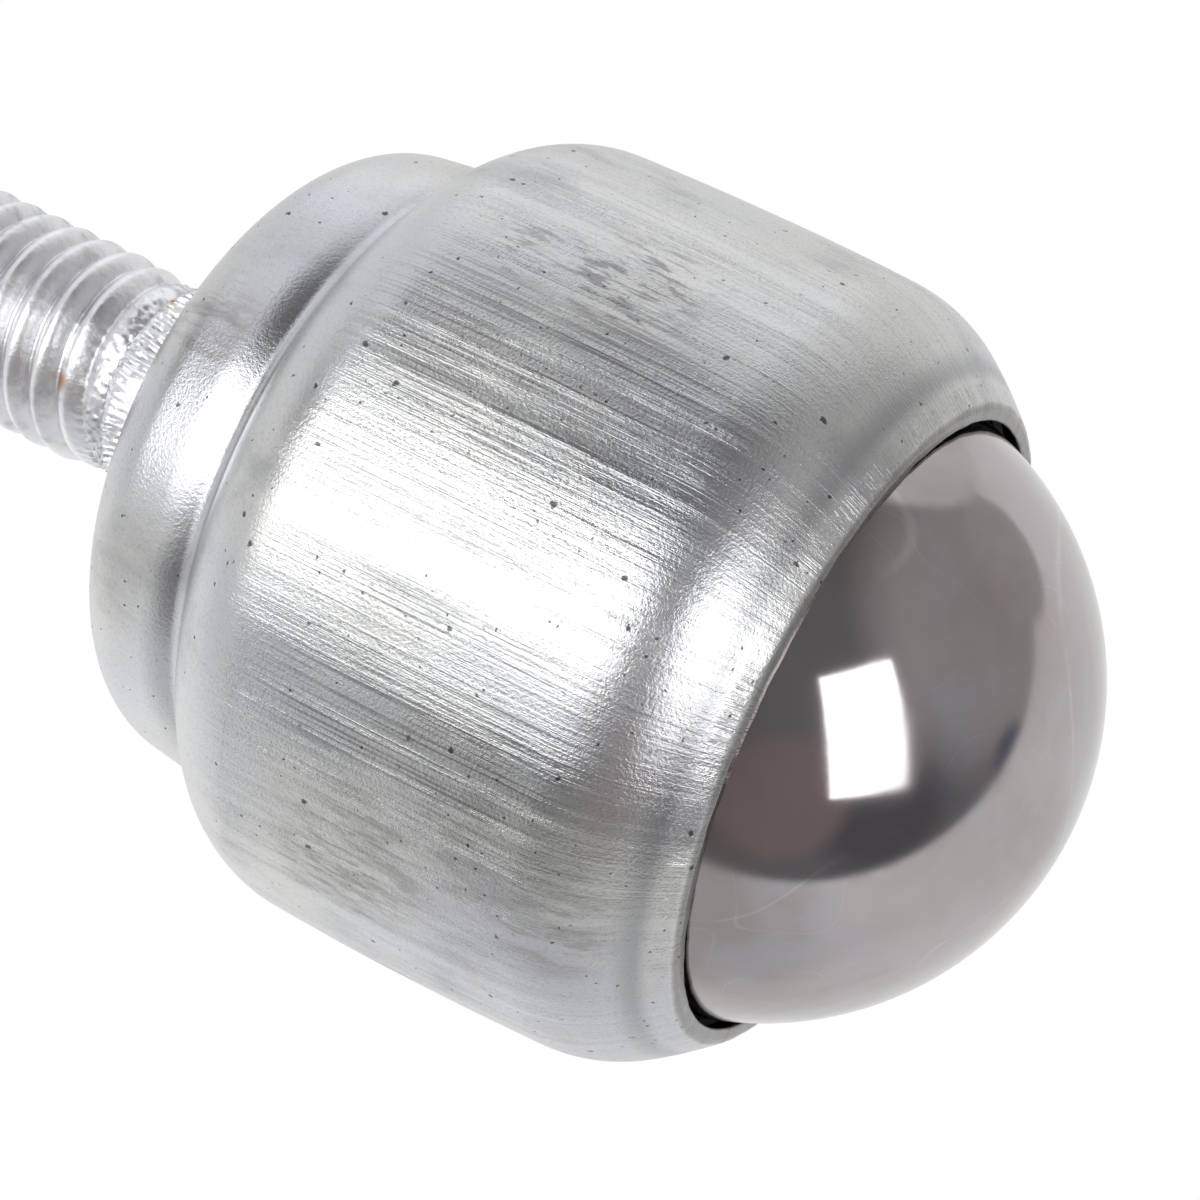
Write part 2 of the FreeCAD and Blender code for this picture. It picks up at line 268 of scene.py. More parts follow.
def smooth_step(value: np.ndarray) -> np.ndarray:
    """Rises from 0 to 1 as value goes from 0 to 1, level at both ends: v * v * (3 - 2 v)."""
    held = np.clip(value, 0.0, 1.0)
    return held * held * (3.0 - 2.0 * held)


# Material building


def add_node(tree: bpy.types.NodeTree, kind: str, values: dict, **options: object) -> bpy.types.Node:
    """Adds a node to a tree.

    Args:
        tree: The tree.
        kind: Type of the node, without the leading ShaderNode.
        values: Its inputs by name or number, each a number, a tuple or an output to join.
        options: Its settings.

    Returns:
        The node.
    """
    node = tree.nodes.new("ShaderNode" + kind)
    for name, value in options.items():
        setattr(node, name, value)
    for name, value in values.items():
        if isinstance(value, Socket):
            tree.links.new(value, node.inputs[name])
        else:
            node.inputs[name].default_value = value
    return node


@dataclass(frozen=True)
class MarkPlace:
    """A place for marks, real stains and dirt, and painted dark reflection too: its middle and reach in
    millimetres, and its share.
    """

    middle: tuple
    reach: float
    share: float


@dataclass(frozen=True)
class Streaks:
    """A noise drawn out along the axis: cells per radian and per metre, shift, detail and roughness."""

    around: float
    along: float
    shift: float
    detail: float
    roughness: float


class Shader:
    """A material's node tree with short calls to fill it."""

    def __init__(self, name: str) -> None:
        """Starts an empty material with a metal surface.

        Args:
            name: Name of the material.
        """
        self.material = bpy.data.materials.new(name)
        self.material.use_nodes = True
        self.tree = self.material.node_tree
        self.surface = self.tree.nodes["Principled BSDF"]
        self.surface.inputs["Metallic"].default_value = 1.0
        self.point = self.tree.nodes.new("ShaderNodeTexCoord").outputs["Object"]

    def join(self, output: Socket, name: str) -> None:
        """Joins an output to an input of the surface."""
        self.tree.links.new(output, self.surface.inputs[name])

    def math(self, operation: str, first: object, second: object, clamp: bool = False) -> Socket:
        """Result of a Math node, held between 0 and 1 with clamp."""
        node = add_node(self.tree, "Math", {0: first, 1: second}, operation=operation, use_clamp=clamp)
        return node.outputs[0]

    def times(self, first: object, second: object) -> Socket:
        """The product of two numbers or outputs."""
        return self.math("MULTIPLY", first, second)

    def plus(self, first: object, second: object) -> Socket:
        """The sum of two numbers or outputs."""
        return self.math("ADD", first, second)

    def larger(self, first: object, second: object) -> Socket:
        """The larger of two numbers or outputs."""
        return self.math("MAXIMUM", first, second)

    def ramp(self, value: object, low: float, high: float, start: float = 0.0,
             end: float = 1.0) -> Socket:
        """Carries the span low to high smoothly onto start to end, held at both ends."""
        values = dict(enumerate((value, low, high, start, end)))
        return add_node(self.tree, "MapRange", values, interpolation_type="SMOOTHSTEP").outputs[0]

    def scaled(self, point: Socket, scale: tuple, shift: object = (0.0, 0.0, 0.0)) -> Socket:
        """A point times a scale plus a shift, which may be an output, number by number."""
        values = {0: point, 1: scale, 2: shift}
        return add_node(self.tree, "VectorMath", values, operation="MULTIPLY_ADD").outputs[0]

    def moved(self, shift: tuple) -> Socket:
        """The shaded point plus a shift."""
        return self.scaled(self.point, (1.0, 1.0, 1.0), shift)

    def noise(self, point: Socket, scale: float, detail: float = 4.0, roughness: float = 0.5,
              warp: float = 0.0) -> Socket:
        """Fractal noise about 0 to 1, with scale in cells per unit of the point."""
        values = {"Vector": point, "Scale": scale, "Detail": detail, "Roughness": roughness,
                  "Distortion": warp}
        return add_node(self.tree, "TexNoise", values).outputs[0]

    def noise_colour(self, point: Socket, scale: float) -> Socket:
        """Three unlike noises of some cells per unit as one colour, each about 0 to 1."""
        return add_node(self.tree, "TexNoise", {"Vector": point, "Scale": scale}).outputs["Color"]

    def streaks(self, pattern: Streaks) -> Socket:
        """Noise that changes fast round the axis and slowly along it, without a seam.

        It is read at (x / r * around, y / r * around, z * along + shift), with r the distance from
        the axis.

        Args:
            pattern: Its sizes.

        Returns:
            The noise, about 0 to 1 with a mean of 0.5.
        """
        flat = self.scaled(self.point, (1.0, 1.0, 0.0))
        outward = add_node(self.tree, "VectorMath", {0: flat}, operation="NORMALIZE").outputs[0]
        height = self.scaled(self.point, (0.0, 0.0, pattern.along), (0.0, 0.0, pattern.shift))
        point = self.scaled(outward, (pattern.around, pattern.around, 0.0), height)
        return self.noise(point, 1.0, pattern.detail, pattern.roughness)

    def cells(self, point: Socket, scale: float) -> tuple:
        """Distance to the nearest seeded point and that cell's random colour."""
        node = add_node(self.tree, "TexVoronoi", {"Vector": point, "Scale": scale})
        return node.outputs["Distance"], node.outputs["Color"]

    def mix(self, share: object, first: object, second: object) -> Socket:
        """Blends two colours, with share as the part of the second."""
        values = {0: share, 6: first, 7: second}
        return add_node(self.tree, "Mix", values, data_type="RGBA").outputs[2]

    def places(self, mark_places: tuple) -> Socket:
        """Share of some places, full up to MARK_PLACE_CORE of a place's reach and fading to 0 at the reach.

        Args:
            mark_places: The places.

        Returns:
            The share, the larger one where two meet.
        """
        total = 0.0
        for mark_place in mark_places:
            values = {0: self.point, 1: Vector(mark_place.middle) * MM}
            distance = add_node(self.tree, "VectorMath", values, operation="DISTANCE").outputs["Value"]
            reach = mark_place.reach * MM
            total = self.larger(total, self.ramp(distance, MARK_PLACE_CORE * reach, reach, mark_place.share, 0.0))
        return total

    def marks(self, value: Socket, low: float, high: float, mark_places: tuple) -> Socket:
        """Share of the marks where a value rises from low to high, in some places."""
        return self.times(self.ramp(value, low, high), self.places(mark_places))

    def height_of_point(self) -> Socket:
        """Height of the shaded point in the row frame, in metres."""
        return add_node(self.tree, "SeparateXYZ", {0: self.point}).outputs[2]

    def bump(self, height: Socket, depth: float) -> None:
        """Roughens the surface by a height map whose 1 stands for depth in metres."""
        node = add_node(self.tree, "Bump", {"Distance": depth, "Strength": 1.0, "Height": height})
        self.join(node.outputs[0], "Normal")


@dataclass(frozen=True)
class Pits:
    """A pattern of pits: cells per metre, size as a share of a cell, and the rareness, 0 to 2."""

    scale: float
    size: float
    rareness: float


@dataclass(frozen=True)
class PressedZinc:
    """Zinc plate on the pressed shell: brushed along the axis below the shoulder, grained above it.

    The pairs and triples of heights are in metres from the seat.
    """

    cool: tuple = (0.595, 0.60, 0.635, 1.0)
    warm: tuple = (0.63, 0.635, 0.60, 1.0)
    dull_and_crease_shade: tuple = (0.36, 0.365, 0.38, 1.0)
    stain: tuple = (0.50, 0.43, 0.36, 1.0)
    grime_and_dark_reflection: tuple = (0.19, 0.19, 0.20, 1.0)
    cut: tuple = (0.20, 0.185, 0.17, 1.0)
    smudge: tuple = (0.31, 0.30, 0.29, 1.0)
    pit: tuple = (0.05, 0.05, 0.05, 1.0)
    streak_depth: float = 0.000025
    grain_scale: float = 9000.0
    fine: Streaks = Streaks(130.0, 120.0, 0.0, 3.0, 0.65)
    hair: Streaks = Streaks(338.0, 300.0, 7.0, 2.0, 0.6)
    bundles: Streaks = Streaks(26.0, 50.0, 11.0, 3.0, 0.6)
    dashes: Streaks = Streaks(60.0, 800.0, 5.0, 5.0, 0.66)
    dirt: Streaks = Streaks(22.0, 420.0, 2.0, 6.0, 0.7)
    chatter: Streaks = Streaks(75.0, 500.0, 3.0, 3.0, 0.6)
    chatter_places: Streaks = Streaks(5.0, 40.0, 9.0, 1.0, 0.5)
    brushed_heights: tuple = (-0.0098, -0.0068)
    calm_heights: tuple = (-0.0218, -0.0192)
    # Heights of the painted shade in the lip's shallow crease.
    crease_shade_heights: tuple = (-0.02325, -0.02285, -0.02215)
    chatter_heights: tuple = (-0.02335, -0.02310)
    edge_heights: tuple = (-0.02379, -0.02369)
    pits: tuple = (Pits(420.0, 0.06, 1.12), Pits(900.0, 0.11, 0.98), Pits(2200.0, 0.14, 1.06))
    rag_scale: float = 6000.0
    rag_reach: float = 0.0002
    pit_core: float = 0.6
    pit_fade: float = 0.02
    blotches: tuple = (
        MarkPlace((8.9, -10.8, -14.4), 3.8, 1.0),
        MarkPlace((8.6, -11.1, -11.6), 2.6, 0.7),
        MarkPlace((-10.9, -8.6, -13.2), 3.2, 0.8),
        MarkPlace((-2.0, 13.5, -13.0), 5.0, 0.8),
    )
    smudges: tuple = (
        MarkPlace((-10.2, -9.6, -14.1), 4.0, 0.9),
        MarkPlace((-8.4, -10.9, -17.6), 3.5, 0.7),
        MarkPlace((-9.2, -10.2, -20.6), 3.5, 0.9),
        MarkPlace((2.4, -10.9, -2.2), 2.4, 0.8),
        MarkPlace((10.0, 9.0, -10.0), 5.0, 0.9),
    )
    # Places where the streak marks are darkened further as painted reflection of the dark surround beside the
    # highlight.
    dark_reflection_strips: tuple = (
        MarkPlace((5.6, -12.9, -11.0), 4.2, 0.8),
        MarkPlace((5.6, -12.8, -16.0), 5.0, 1.0),
        MarkPlace((-5.7, -12.7, -12.5), 4.0, 0.9),
        MarkPlace((-5.4, -12.7, -17.0), 4.5, 1.0),
        MarkPlace((9.0, 10.5, -13.0), 5.0, 1.0),
    )

    def _pits(self, shader: Shader) -> Socket:
        """Share of the pits: ragged dots round the points of cell patterns, thick in some places.

        Args:
            shader: The material's nodes.

        Returns:
            The share.
        """
        rag = shader.noise_colour(shader.point, self.rag_scale)
        point = shader.scaled(rag, (self.rag_reach, self.rag_reach, self.rag_reach), shader.point)
        crowd = shader.noise(shader.point, scale=130.0, detail=2.0)
        total = 0.0
        for pits in self.pits:
            distance, random = shader.cells(point, pits.scale)
            last = pits.rareness + self.pit_fade
            chosen = shader.ramp(shader.plus(random, crowd), pits.rareness, last)
            dot = shader.ramp(distance, pits.size * self.pit_core, pits.size, 1.0, 0.0)
            total = shader.larger(total, shader.times(dot, chosen))
        return total

    def _lip_shade_and_marks(self, shader: Shader, height: Socket) -> tuple:
        """Painted shade of the shallow crease on the lip, soft and dark all round, and chatter marks below it.

        Args:
            shader: The material's nodes.
            height: Height of the shaded point.

        Returns:
            Share of the painted crease shade, and the chatter's relief between 0 and 1.
        """
        low, middle, high = self.crease_shade_heights
        rise = shader.ramp(height, low, middle)
        painted_crease_shade = shader.times(rise, shader.ramp(height, middle, high, 1.0, 0.0))
        marks = shader.ramp(shader.streaks(self.chatter), 0.40, 0.60)
        sparse = shader.ramp(shader.streaks(self.chatter_places), 0.42, 0.60)
        strip = shader.ramp(height, *self.chatter_heights, 1.0, 0.0)
        return painted_crease_shade, shader.times(marks, shader.times(strip, sparse))

    def build(self) -> bpy.types.Material:
        """Lays the marks, the painted dark reflection and the painted crease shade over the plate, the dark
        ones last, and brushes it.

        Returns:
            The material.
        """
        shader = Shader("pressed_zinc")
        height = shader.height_of_point()
        brushed = shader.ramp(height, *self.brushed_heights, 1.0, 0.05)
        fine = shader.streaks(self.fine)
        grain = shader.noise(shader.point, self.grain_scale, detail=2.0, roughness=0.7)
        cloud_point = shader.scaled(shader.point, (1.0, 1.0, 0.6))
        cloud = shader.noise(cloud_point, scale=210.0, detail=5.0, roughness=0.62)
        lines = shader.ramp(shader.plus(fine, shader.times(grain, 0.35)), 0.52, 0.80)
        bundle = shader.ramp(shader.streaks(self.bundles), 0.42, 0.62, 0.25, 1.0)
        worn = shader.times(shader.times(lines, brushed), bundle)
        patch = shader.times(shader.ramp(cloud, 0.52, 0.70), 0.55)
        shade = shader.plus(patch, shader.times(worn, 0.16))
        speck = shader.times(shader.ramp(grain, 0.48, 0.75), 0.4)
        dashes = shader.marks(shader.streaks(self.dashes), 0.50, 0.60, self.blotches)
        # Dirt in the blotches; in the strips, brush marks darkened as painted dark reflection beside the
        # highlight.
        dark_marks_and_reflection = shader.larger(dashes, shader.marks(fine, 0.46, 0.60, self.dark_reflection_strips))
        dirty = shader.marks(shader.streaks(self.dirt), 0.42, 0.62, self.smudges)
        brown = shader.noise(shader.point, scale=260.0, detail=3.0, roughness=0.6, warp=0.5)
        tone = shader.noise(shader.point, scale=100.0, detail=3.0, roughness=0.55)
        colour = shader.mix(shader.ramp(tone, 0.35, 0.65), self.cool, self.warm)
        painted_crease_shade, chatter = self._lip_shade_and_marks(shader, height)
        layers = (
            (shader.math("ADD", shade, speck, clamp=True), self.dull_and_crease_shade),
            # Painted dark reflection beside the highlight, with dirt in the blotches.
            (shader.times(dark_marks_and_reflection, 0.7), self.grime_and_dark_reflection),
            (shader.times(dirty, 0.75), self.smudge),
            # Painted shade in the lip's shallow crease.
            (shader.times(painted_crease_shade, 0.75), self.dull_and_crease_shade),
            (shader.ramp(height, *self.edge_heights, 0.7, 0.0), self.cut),
            (shader.times(shader.ramp(brown, 0.62, 0.74), 0.3), self.stain),
            (shader.times(self._pits(shader), 0.85), self.pit),
        )
        for share, layer in layers:
            colour = shader.mix(share, colour, layer)
        shader.join(colour, "Base Color")
        shader.join(shader.ramp(cloud, 0.35, 0.7, 0.27, 0.33), "Roughness")
        brush = shader.plus(shader.times(lines, 0.42), shader.times(shader.streaks(self.hair), 0.3))
        calm = shader.ramp(height, *self.calm_heights, 0.4, 1.0)
        brush = shader.times(shader.times(brush, bundle), calm)
        relief = shader.plus(shader.times(brush, brushed), shader.times(grain, 0.5))
        relief = shader.plus(relief, shader.times(chatter, 0.6))
        shader.bump(relief, self.streak_depth)
        return shader.material


@dataclass(frozen=True)
class BrightZinc:
    """Bright zinc plate on the stud, with a few spots of rust and one ragged place of it."""

    pale: tuple = (0.82, 0.825, 0.85, 1.0)
    dark: tuple = (0.56, 0.565, 0.585, 1.0)
    rust: tuple = (0.45, 0.22, 0.05, 1.0)
    rusty: tuple = (MarkPlace((-1.5, -3.6, 6.9), 0.62, 0.85),)
    grain_depth: float = 0.00003

    def build(self) -> bpy.types.Material:
        """Clouds the plate and sets the rust on it.

        Returns:
            The material.
        """
        shader = Shader("bright_zinc")
        cloud = shader.noise(shader.point, scale=700.0, detail=4.0, roughness=0.65)
        colour = shader.mix(shader.ramp(cloud, 0.48, 0.72), self.pale, self.dark)
        distance, random = shader.cells(shader.point, scale=400.0)
        dot = shader.ramp(distance, 0.04, 0.10, 1.0, 0.0)
        spots = shader.times(shader.times(dot, shader.ramp(random, 0.60, 0.62)), 0.8)
        colour = shader.mix(shader.larger(spots, shader.places(self.rusty)), colour, self.rust)
        shader.join(colour, "Base Color")
        shader.join(shader.ramp(cloud, 0.3, 0.7, 0.33, 0.48), "Roughness")
        grain = shader.noise(shader.point, scale=2600.0, detail=3.0, roughness=0.6)
        shader.bump(grain, self.grain_depth)
        return shader.material


@dataclass(frozen=True)
class PolishedSteel:
    """Polished steel with faint scratches: the load ball, and duller the parts inside.

    The scratches are pairs of cells per metre and share.
    """

    name: str = "polished_steel"
    tint: tuple = (0.455, 0.42, 0.425, 1.0)
    worn: tuple = (0.375, 0.34, 0.335, 1.0)
    smooth: float = 0.07
    rough: float = 0.15
    relief: float = 0.000002
    line: tuple = (0.58, 0.55, 0.55, 1.0)
    bluish: tuple = (0.43, 0.43, 0.48, 1.0)
    brownish: tuple = (0.40, 0.36, 0.33, 1.0)
    scratches: tuple = ((60.0, 0.5), (130.0, 0.4), (300.0, 0.3))

    def build(self) -> bpy.types.Material:
        """Tints the steel and scratches it along the lines where a smooth noise passes 0.5.

        Returns:
            The material.
        """
        shader = Shader(self.name)
        cloud = shader.noise(shader.point, scale=140.0, detail=4.0, roughness=0.55, warp=0.3)
        colour = shader.mix(shader.ramp(cloud, 0.4, 0.7), self.tint, self.worn)
        blue = shader.noise(shader.moved((0.3, 0.0, 0.0)), scale=230.0, detail=4.0, roughness=0.6)
        brown = shader.noise(shader.moved((0.0, 0.7, 0.0)), scale=190.0, detail=4.0, roughness=0.6)
        colour = shader.mix(shader.ramp(blue, 0.50, 0.68, 0.0, 0.6), colour, self.bluish)
        colour = shader.mix(shader.ramp(brown, 0.54, 0.70, 0.0, 0.7), colour, self.brownish)
        broken = shader.ramp(blue, 0.42, 0.60)
        for scale, share in self.scratches:
            curve = shader.noise(shader.moved((scale, 0.0, 0.0)), scale, detail=0.0)
            off = shader.math("ABSOLUTE", shader.math("SUBTRACT", curve, 0.5), 0.0)
            faint = shader.times(shader.ramp(off, 0.0, 0.005, share, 0.0), broken)
            colour = shader.mix(faint, colour, self.line)
        shader.join(colour, "Base Color")
        shader.join(shader.ramp(cloud, 0.3, 0.7, self.smooth, self.rough), "Roughness")
        shader.bump(shader.noise(shader.point, scale=900.0, detail=3.0), self.relief)
        return shader.material


# Pieces


@dataclass
class Shell:
    """Pressed shell: seat, dome, crease, shoulder, crowned side and the lip rolled over the ball."""

    material: bpy.types.Material
    ball_centre: float
    ball_radius: float
    hole_radius: float = 4.25
    wall: float = 0.9
    rim_wall: float = 0.5
    rim_grip: float = 0.4
    side_radius: float = 13.7625
    bend_rise: float = 0.7
    bend_start: float = 3.8
    bend_end: float = 36.0
    bend_fillet: float = 5.2
    lip_fillet: float = 16.0
    crown_rise: float = 0.3
    shoulder_drop: float = 8.9
    shoulder_fillet: float = 4.0
    crease_slope: float = 60.0
    crease_fillet: float = 0.6
    dome_step: float = 2.52
    dome_drop: float = 3.7
    dome_crown: float = 3.0
    dome_slope: float = 6.0
    dome_fillet: float = 2.4
    corner: float = 0.1
    columns: int = 384
    inner_step: int = 4
    dent: float = 0.015
    dent_waves: tuple = (3, 5, 8, 13, 21)
    dent_twist: float = 9.0
    dent_fade: float = 4.0
    rim_dent: float = 0.2
    rim_fade: float = 2.0
    nick: float = 0.02
    nick_waves: tuple = (31, 47, 71, 101, 139)
    nick_height: float = 0.8

    @staticmethod
    def _normal(slope: float) -> np.ndarray:
        """Outward normal of a wall that leans in by slope degrees."""
        angle = math.radians(slope)
        return np.array([math.cos(angle), -math.sin(angle)])

    def _bend_point(self) -> np.ndarray:
        """Point of the outer face where the side bends into the lip."""
        return np.array([self.side_radius, self.ball_centre + self.bend_rise])

    def _side(self, inset: float) -> np.ndarray:
        """Wall face from the bend's start up to the seat, set in by inset.

        Rounds with shared tangents: the crown from the bend to the shoulder, the shoulder, a straight
        flank, the hollow crease, the dome's bulging side, its straight leaning part and its round to
        the seat.

        Args:
            inset: Distance inwards from the outer face.

        Returns:
            Array (points, 2) of radius and height.
        """
        bend_point = self._bend_point()
        widest = self.side_radius + self.crown_rise
        shoulder = np.array([widest - self.shoulder_fillet, -self.shoulder_drop])
        start = self._normal(self.bend_start)
        span = bend_point - shoulder
        crown = (span @ span - self.shoulder_fillet ** 2) / (2.0 * (span @ start - self.shoulder_fillet))
        crown_centre = bend_point - start * crown
        towards = shoulder - crown_centre
        crown_slope = math.degrees(math.atan2(-towards[1], towards[0]))
        flank = self._normal(-self.crease_slope)
        reach = shoulder @ flank + self.shoulder_fillet
        bulge = np.array([widest - self.dome_step - self.dome_crown, -self.dome_drop])
        spread = self.dome_crown + self.crease_fillet
        room = (reach + self.crease_fillet - bulge @ flank) / spread
        under = math.degrees(math.acos(room)) - self.crease_slope
        crease = bulge + self._normal(under) * spread
        lean = self._normal(-self.dome_slope)
        side_reach = bulge @ lean + self.dome_crown - self.dome_fillet
        dome = np.array([(side_reach + self.dome_fillet * lean[1]) / lean[0], -self.dome_fillet])
        steep = -self.crease_slope
        crowned = circle_points(crown_centre, crown - inset, self.bend_start, crown_slope, 42)
        turn_in = circle_points(shoulder, self.shoulder_fillet - inset, crown_slope, steep, 26)[1:]
        hollow = circle_points(crease, -(self.crease_fillet + inset), steep, under, 16)
        bulge_side = circle_points(bulge, self.dome_crown - inset, under, -self.dome_slope, 20)
        round_off = circle_points(dome, self.dome_fillet - inset, -self.dome_slope, -90.0, 22)
        return np.concatenate([
            crowned, turn_in, line_points(turn_in[-1], hollow[0], 4), hollow,
            bulge_side[1:], line_points(bulge_side[-1], round_off[0], 4), round_off,
        ])

    def _lip(self) -> tuple:
        """Outer and inner faces of the lip, from the mouth to the bend's start.

        Returns:
            Two arrays (points, 2), the outer running up and the inner running down to the mouth.
        """
        start, end = self._normal(self.bend_start), self._normal(self.bend_end)
        bend_centre = self._bend_point() - start * self.bend_fillet
        lip_centre = bend_centre + end * (self.bend_fillet - self.lip_fillet)
        mouth = self.ball_radius - self.rim_grip
        rim = mouth + self.rim_wall
        rim_slope = math.degrees(math.acos((rim - lip_centre[0]) / self.lip_fillet))
        low = lip_centre + self._normal(rim_slope) * self.lip_fillet
        outer = np.concatenate([
            circle_points(lip_centre, self.lip_fillet, rim_slope, self.bend_end, 16)[1:-1],
            circle_points(bend_centre, self.bend_fillet, self.bend_end, self.bend_start, 22),
        ])
        first = bend_centre + start * (self.bend_fillet - self.wall)
        last = np.array([mouth, low[1]])
        chord = last - first
        radius = chord @ chord / (-2.0 * chord @ start)
        centre = first - start * radius
        slope = math.degrees(math.atan2(centre[1] - last[1], last[0] - centre[0]))
        inner = circle_points(centre, radius, self.bend_start, slope, 26)[:-1]
        face_out, face_in = np.array([rim, low[1]]), np.array([mouth, low[1]])
        corner = self.corner
        rounds = np.concatenate([
            circle_points(face_in + [corner * 1.2, corner], corner, 190.0, 90.0, 6),
            circle_points(face_out + [-corner * 1.4, corner], corner, 90.0, rim_slope, 6),
        ])
        return np.concatenate([rounds, outer]), inner

    def profile(self) -> np.ndarray:
        """The closed section of the wall, up the outer face, in at the hole and down the inner face.

        Returns:
            Array (points, 2) of radius and height.
        """
        outer_lip, inner_lip = self._lip()
        outer, inner = self._side(0.0), self._side(self.wall)[::-self.inner_step]
        corner = self.corner
        edge = self.hole_radius + corner
        hole = np.concatenate([
            line_points(outer[-1], (self.hole_radius, 0.0), 6),
            circle_points((edge, -corner), corner, -90.0, -180.0, 5),
            circle_points((edge, corner - self.wall), corner, -180.0, -270.0, 5),
            line_points((edge, -self.wall), inner[0], 4),
        ])
        return np.concatenate([outer_lip, outer[1:], hole, inner[:-1], inner_lip])

    def points(self) -> np.ndarray:
        """Section carried round the axis, slightly uneven as a pressed wall is.

        Each point moves from the axis by dent * ripples(t + z / dent_twist), not at the seat, and the
        end face of the lip moves up and down by nick * ripples, fading out nick_height above it.

        Returns:
            Array (rows, columns, 3).
        """
        grid = turned(self.profile(), self.columns)
        turn = np.arctan2(grid[..., 1], grid[..., 0])
        height = grid[..., 2]
        above_rim = height - height.min()
        away = smooth_step(above_rim / self.rim_fade + self.rim_dent)
        away = smooth_step(-height / self.dent_fade) * away
        uneven = ripples(turn + height / self.dent_twist, self.dent_waves, seed=11) * self.dent * away
        grid[..., 0] += uneven * np.cos(turn)
        grid[..., 1] += uneven * np.sin(turn)
        near_rim = smooth_step(1.0 - above_rim / self.nick_height)
        grid[..., 2] += self.nick * near_rim * ripples(turn, self.nick_waves, seed=5)
        return grid

    def build(self) -> bpy.types.Object:
        """The piece."""
        mesh = grid_mesh("pressed_shell", [self.points()], Ends.LOOP)
        return add_piece(mesh, self.material, "housing", ("shell",))


